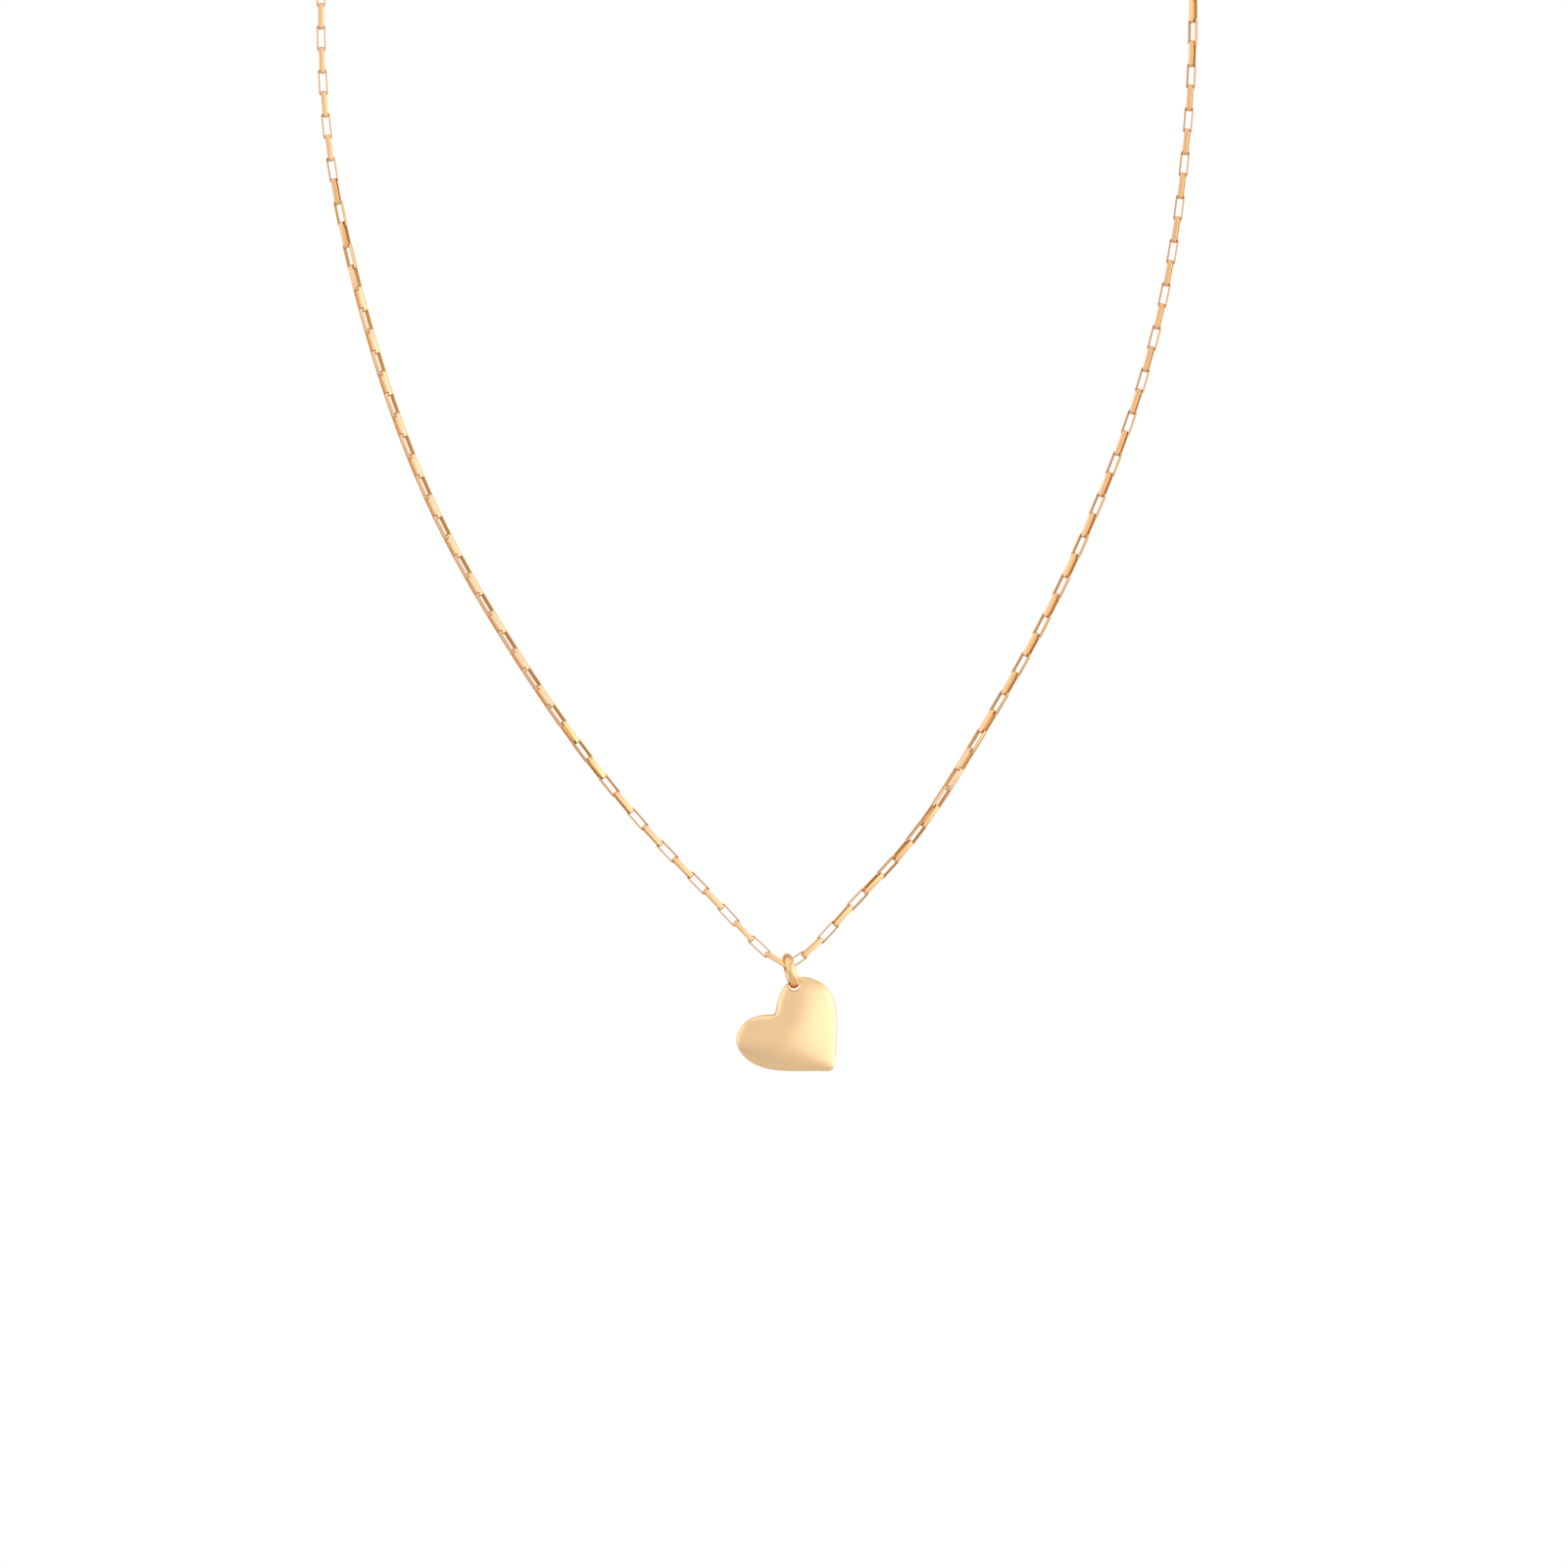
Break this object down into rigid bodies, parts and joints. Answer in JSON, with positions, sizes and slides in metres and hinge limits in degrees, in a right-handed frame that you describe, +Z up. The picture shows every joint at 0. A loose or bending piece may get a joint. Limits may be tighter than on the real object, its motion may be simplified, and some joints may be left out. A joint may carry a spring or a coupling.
{
  "type": "pendant necklace",
  "caption": "Necklace as worn: an elongated box-link chain in two strands, a lobster clasp with its rings, and a puffed heart pendant on an oval-section bail ring.",
  "frame": {"origin": "middle of the nape of the neck that the chain goes round, level with the clasp", "axes": "+Z up, -Y the way the wearer faces, +X on the right of somebody who looks at the pendant"},
  "size_m": [0.1079, 0.0462, 0.1678],
  "materials": {
    "chain_gold": "polished gold plate over brass",
    "pendant_gold": "mirror polished gold plate over brass",
    "clasp_gold": "tumble polished gold plate over brass",
    "spring_steel": "bright drawn wire"
  },
  "bodies": {
    "clasp": {"clasp_body": "clasp_gold", "clasp_rivet": "clasp_gold", "clasp_spring": "spring_steel"},
    "clasp_lever": {"clasp_lever": "clasp_gold"},
    "left_end_ring": {"left_end_ring": "chain_gold"},
    "right_catch_ring": {"right_catch_ring": "chain_gold"},
    "left_01": {"left_chain_01": "chain_gold"},
    "left_02": {"left_chain_02": "chain_gold"},
    "left_03": {"left_chain_03": "chain_gold"},
    "left_04": {"left_chain_04": "chain_gold"},
    "left_05": {"left_chain_05": "chain_gold"},
    "left_06": {"left_chain_06": "chain_gold"},
    "left_07": {"left_chain_07": "chain_gold"},
    "left_08": {"left_chain_08": "chain_gold"},
    "left_09": {"left_chain_09": "chain_gold"},
    "left_10": {"left_chain_10": "chain_gold"},
    "left_11": {"left_chain_11": "chain_gold"},
    "left_12": {"left_chain_12": "chain_gold"},
    "left_13": {"left_chain_13": "chain_gold"},
    "left_14": {"left_chain_14": "chain_gold"},
    "left_15": {"left_chain_15": "chain_gold"},
    "left_16": {"left_chain_16": "chain_gold"},
    "left_17": {"left_chain_17": "chain_gold"},
    "left_18": {"left_chain_18": "chain_gold"},
    "left_19": {"left_chain_19": "chain_gold"},
    "left_20": {"left_chain_20": "chain_gold"},
    "right_01": {"right_chain_01": "chain_gold"},
    "right_02": {"right_chain_02": "chain_gold"},
    "right_03": {"right_chain_03": "chain_gold"},
    "right_04": {"right_chain_04": "chain_gold"},
    "right_05": {"right_chain_05": "chain_gold"},
    "right_06": {"right_chain_06": "chain_gold"},
    "right_07": {"right_chain_07": "chain_gold"},
    "right_08": {"right_chain_08": "chain_gold"},
    "right_09": {"right_chain_09": "chain_gold"},
    "right_10": {"right_chain_10": "chain_gold"},
    "right_11": {"right_chain_11": "chain_gold"},
    "right_12": {"right_chain_12": "chain_gold"},
    "right_13": {"right_chain_13": "chain_gold"},
    "right_14": {"right_chain_14": "chain_gold"},
    "right_15": {"right_chain_15": "chain_gold"},
    "right_16": {"right_chain_16": "chain_gold"},
    "right_17": {"right_chain_17": "chain_gold"},
    "right_18": {"right_chain_18": "chain_gold"},
    "right_19": {"right_chain_19": "chain_gold"},
    "right_20": {"right_chain_20": "chain_gold"},
    "centre_link": {"centre_link": "chain_gold"},
    "bail_ring": {"bail_ring": "chain_gold"},
    "heart": {"heart_front_shell": "pendant_gold", "heart_back_shell": "pendant_gold", "heart_eyelet": "pendant_gold"}
  },
  "joints": [
    {"name": "gate_hinge", "type": "hinge", "parent": "clasp", "child": "clasp_lever", "pos_m": [-0.00168, 0, -0.0008], "axis": [0, -1, 0], "range_deg": [0, 10], "stiffness_Nm_per_rad": 0.003, "springref_deg": -20.05, "deforming": ["clasp_spring"]},
    {"name": "left_ring_swing", "type": "hinge", "parent": "clasp", "child": "left_end_ring", "pos_m": [-0.00753, 0, 0], "axis": [-1, 0, 0], "range_deg": [-4, 4]},
    {"name": "right_ring_swing", "type": "hinge", "parent": "clasp", "child": "right_catch_ring", "pos_m": [0.00237, 0, 0], "axis": [-1, 0, 0], "range_deg": [-4, 4]},
    {"name": "left_bend_01", "type": "hinge", "parent": "left_end_ring", "child": "left_01", "pos_m": [-0.00732, 0, 0], "axis": [-1, 0, 0], "range_deg": [-4, 4]},
    {"name": "right_bend_01", "type": "hinge", "parent": "right_catch_ring", "child": "right_01", "pos_m": [0.00552, 0, 0], "axis": [-1, 0, 0], "range_deg": [-4, 4]},
    {"name": "left_bend_02", "type": "hinge", "parent": "left_01", "child": "left_02", "pos_m": [-0.01787, -0.002, -0.00004], "axis": [-1, -0.0006, 0], "range_deg": [-4, 4]},
    {"name": "right_bend_02", "type": "hinge", "parent": "right_01", "child": "right_02", "pos_m": [0.0161, -0.00198, -0.00004], "axis": [-1, -0.0006, 0], "range_deg": [-4, 4]},
    {"name": "left_bend_03", "type": "hinge", "parent": "left_02", "child": "left_03", "pos_m": [-0.02726, -0.00722, -0.00052], "axis": [-1, -0.0024, -0.0003], "range_deg": [-4, 4]},
    {"name": "right_bend_03", "type": "hinge", "parent": "right_02", "child": "right_03", "pos_m": [0.02559, -0.0071, -0.00051], "axis": [-1, -0.0024, -0.0003], "range_deg": [-4, 4]},
    {"name": "left_bend_04", "type": "hinge", "parent": "left_03", "child": "left_04", "pos_m": [-0.03522, -0.01434, -0.00191], "axis": [-1, -0.0042, -0.0011], "range_deg": [-4, 4]},
    {"name": "right_bend_04", "type": "hinge", "parent": "right_03", "child": "right_04", "pos_m": [0.03375, -0.01405, -0.00183], "axis": [-1, -0.0042, -0.0011], "range_deg": [-4, 4]},
    {"name": "left_bend_05", "type": "hinge", "parent": "left_04", "child": "left_05", "pos_m": [-0.04187, -0.02235, -0.00468], "axis": [-1, -0.0054, -0.0024], "range_deg": [-4, 4]},
    {"name": "right_bend_05", "type": "hinge", "parent": "right_04", "child": "right_05", "pos_m": [0.04068, -0.0219, -0.00448], "axis": [-1, -0.0054, -0.0024], "range_deg": [-4, 4]},
    {"name": "left_bend_06", "type": "hinge", "parent": "left_05", "child": "left_06", "pos_m": [-0.04722, -0.03036, -0.00946], "axis": [-1, -0.0056, -0.0043], "range_deg": [-4, 4]},
    {"name": "right_bend_06", "type": "hinge", "parent": "right_05", "child": "right_06", "pos_m": [0.04638, -0.02983, -0.00906], "axis": [-1, -0.0056, -0.0043], "range_deg": [-4, 4]},
    {"name": "left_bend_07", "type": "hinge", "parent": "left_06", "child": "left_07", "pos_m": [-0.05103, -0.03712, -0.01688], "axis": [-1, -0.0042, -0.0065], "range_deg": [-4, 4]},
    {"name": "right_bend_07", "type": "hinge", "parent": "right_06", "child": "right_07", "pos_m": [0.05058, -0.03669, -0.01622], "axis": [-1, -0.0042, -0.0065], "range_deg": [-4, 4]},
    {"name": "left_bend_08", "type": "hinge", "parent": "left_07", "child": "left_08", "pos_m": [-0.053, -0.04111, -0.02664], "axis": [-1, -0.0018, -0.0076], "range_deg": [-4, 4]},
    {"name": "right_bend_08", "type": "hinge", "parent": "right_07", "child": "right_08", "pos_m": [0.05286, -0.04092, -0.02583], "axis": [-1, -0.0018, -0.0076], "range_deg": [-4, 4]},
    {"name": "left_bend_09", "type": "hinge", "parent": "left_08", "child": "left_09", "pos_m": [-0.05339, -0.042, -0.03735], "axis": [-1, 0, -0.0075], "range_deg": [-6, 6]},
    {"name": "right_bend_09", "type": "hinge", "parent": "right_08", "child": "right_09", "pos_m": [0.05339, -0.042, -0.03655], "axis": [-1, 0, -0.0075], "range_deg": [-6, 6]},
    {"name": "left_bend_10", "type": "hinge", "parent": "left_09", "child": "left_10", "pos_m": [-0.05284, -0.042, -0.04812], "axis": [-1, 0, -0.0073], "range_deg": [-6, 6]},
    {"name": "right_bend_10", "type": "hinge", "parent": "right_09", "child": "right_10", "pos_m": [0.05292, -0.042, -0.04735], "axis": [-1, 0, -0.0073], "range_deg": [-6, 6]},
    {"name": "left_bend_11", "type": "hinge", "parent": "left_10", "child": "left_11", "pos_m": [-0.05128, -0.042, -0.05879], "axis": [-1, 0, -0.0065], "range_deg": [-6, 6]},
    {"name": "right_bend_11", "type": "hinge", "parent": "right_10", "child": "right_11", "pos_m": [0.05186, -0.042, -0.05812], "axis": [-1, 0, -0.0065], "range_deg": [-6, 6]},
    {"name": "left_bend_12", "type": "hinge", "parent": "left_11", "child": "left_12", "pos_m": [-0.0489, -0.042, -0.06932], "axis": [-1, 0, -0.0052], "range_deg": [-6, 6]},
    {"name": "right_bend_12", "type": "hinge", "parent": "right_11", "child": "right_12", "pos_m": [0.05015, -0.042, -0.0688], "axis": [-1, 0, -0.0052], "range_deg": [-6, 6]},
    {"name": "left_bend_13", "type": "hinge", "parent": "left_12", "child": "left_13", "pos_m": [-0.04595, -0.042, -0.07969], "axis": [-1, 0, -0.0041], "range_deg": [-6, 6]},
    {"name": "right_bend_13", "type": "hinge", "parent": "right_12", "child": "right_13", "pos_m": [0.0476, -0.042, -0.07931], "axis": [-1, 0, -0.0041], "range_deg": [-6, 6]},
    {"name": "left_bend_14", "type": "hinge", "parent": "left_13", "child": "left_14", "pos_m": [-0.04235, -0.042, -0.08986], "axis": [-1, 0, -0.0033], "range_deg": [-6, 6]},
    {"name": "right_bend_14", "type": "hinge", "parent": "right_13", "child": "right_14", "pos_m": [0.04418, -0.042, -0.08957], "axis": [-1, 0, -0.0033], "range_deg": [-6, 6]},
    {"name": "left_bend_15", "type": "hinge", "parent": "left_14", "child": "left_15", "pos_m": [-0.03792, -0.042, -0.09969], "axis": [-1, 0, -0.0013], "range_deg": [-6, 6]},
    {"name": "right_bend_15", "type": "hinge", "parent": "right_14", "child": "right_15", "pos_m": [0.0401, -0.042, -0.09959], "axis": [-1, 0, -0.0013], "range_deg": [-6, 6]},
    {"name": "left_bend_16", "type": "hinge", "parent": "left_15", "child": "left_16", "pos_m": [-0.03263, -0.042, -0.1091], "axis": [-1, 0, 0.0042], "range_deg": [-6, 6]},
    {"name": "right_bend_16", "type": "hinge", "parent": "right_15", "child": "right_16", "pos_m": [0.0355, -0.042, -0.10938], "axis": [-1, 0, 0.0042], "range_deg": [-6, 6]},
    {"name": "left_bend_17", "type": "hinge", "parent": "left_16", "child": "left_17", "pos_m": [-0.02683, -0.042, -0.11819], "axis": [-0.9999, 0, 0.012], "range_deg": [-6, 6]},
    {"name": "right_bend_17", "type": "hinge", "parent": "right_16", "child": "right_17", "pos_m": [0.03032, -0.042, -0.11888], "axis": [-0.9999, 0, 0.012], "range_deg": [-6, 6]},
    {"name": "left_bend_18", "type": "hinge", "parent": "left_17", "child": "left_18", "pos_m": [-0.02058, -0.042, -0.12699], "axis": [-0.9997, 0, 0.0259], "range_deg": [-6, 6]},
    {"name": "right_bend_18", "type": "hinge", "parent": "right_17", "child": "right_18", "pos_m": [0.02476, -0.042, -0.12816], "axis": [-0.9997, 0, 0.0259], "range_deg": [-6, 6]},
    {"name": "left_bend_19", "type": "hinge", "parent": "left_18", "child": "left_19", "pos_m": [-0.01374, -0.042, -0.13533], "axis": [-0.9985, 0, 0.0545], "range_deg": [-6, 6]},
    {"name": "right_bend_19", "type": "hinge", "parent": "right_18", "child": "right_19", "pos_m": [0.01868, -0.042, -0.1371], "axis": [-0.9985, 0, 0.0545], "range_deg": [-6, 6]},
    {"name": "left_bend_20", "type": "hinge", "parent": "left_19", "child": "left_20", "pos_m": [-0.00628, -0.042, -0.14312], "axis": [-0.9939, 0, 0.1105], "range_deg": [-6, 6]},
    {"name": "right_bend_20", "type": "hinge", "parent": "right_19", "child": "right_20", "pos_m": [0.01139, -0.042, -0.14509], "axis": [-0.9939, 0, 0.1105], "range_deg": [-6, 6]},
    {"name": "centre_link_roll", "type": "hinge", "parent": "left_20", "child": "centre_link", "pos_m": [0.00127, -0.042, -0.15083], "axis": [-0.8572, 0, 0.515], "range_deg": [-6, 6]},
    {"name": "bail_swing", "type": "hinge", "parent": "centre_link", "child": "bail_ring", "pos_m": [0.00408, -0.04194, -0.15287], "axis": [-0.9606, -0.101, -0.2588], "range_deg": [-80, 80]},
    {"name": "heart_swing", "type": "hinge", "parent": "bail_ring", "child": "heart", "pos_m": [0.00454, -0.0419, -0.15458], "axis": [0, -1, 0], "range_deg": [-30, 30]}
  ],
  "couplings": [
    {"joint": "right_ring_swing", "follows": "left_ring_swing", "ratio": 1},
    {"joint": "right_bend_01", "follows": "left_bend_01", "ratio": 1},
    {"joint": "right_bend_02", "follows": "left_bend_02", "ratio": 1},
    {"joint": "right_bend_03", "follows": "left_bend_03", "ratio": 1},
    {"joint": "right_bend_04", "follows": "left_bend_04", "ratio": 1},
    {"joint": "right_bend_05", "follows": "left_bend_05", "ratio": 1},
    {"joint": "right_bend_06", "follows": "left_bend_06", "ratio": 1},
    {"joint": "right_bend_07", "follows": "left_bend_07", "ratio": 1},
    {"joint": "right_bend_08", "follows": "left_bend_08", "ratio": 1},
    {"joint": "right_bend_09", "follows": "left_bend_09", "ratio": 1},
    {"joint": "right_bend_10", "follows": "left_bend_10", "ratio": 1},
    {"joint": "right_bend_11", "follows": "left_bend_11", "ratio": 1},
    {"joint": "right_bend_12", "follows": "left_bend_12", "ratio": 1},
    {"joint": "right_bend_13", "follows": "left_bend_13", "ratio": 1},
    {"joint": "right_bend_14", "follows": "left_bend_14", "ratio": 1},
    {"joint": "right_bend_15", "follows": "left_bend_15", "ratio": 1},
    {"joint": "right_bend_16", "follows": "left_bend_16", "ratio": 1},
    {"joint": "right_bend_17", "follows": "left_bend_17", "ratio": 1},
    {"joint": "right_bend_18", "follows": "left_bend_18", "ratio": 1},
    {"joint": "right_bend_19", "follows": "left_bend_19", "ratio": 1},
    {"joint": "right_bend_20", "follows": "left_bend_20", "ratio": 1}
  ]
}
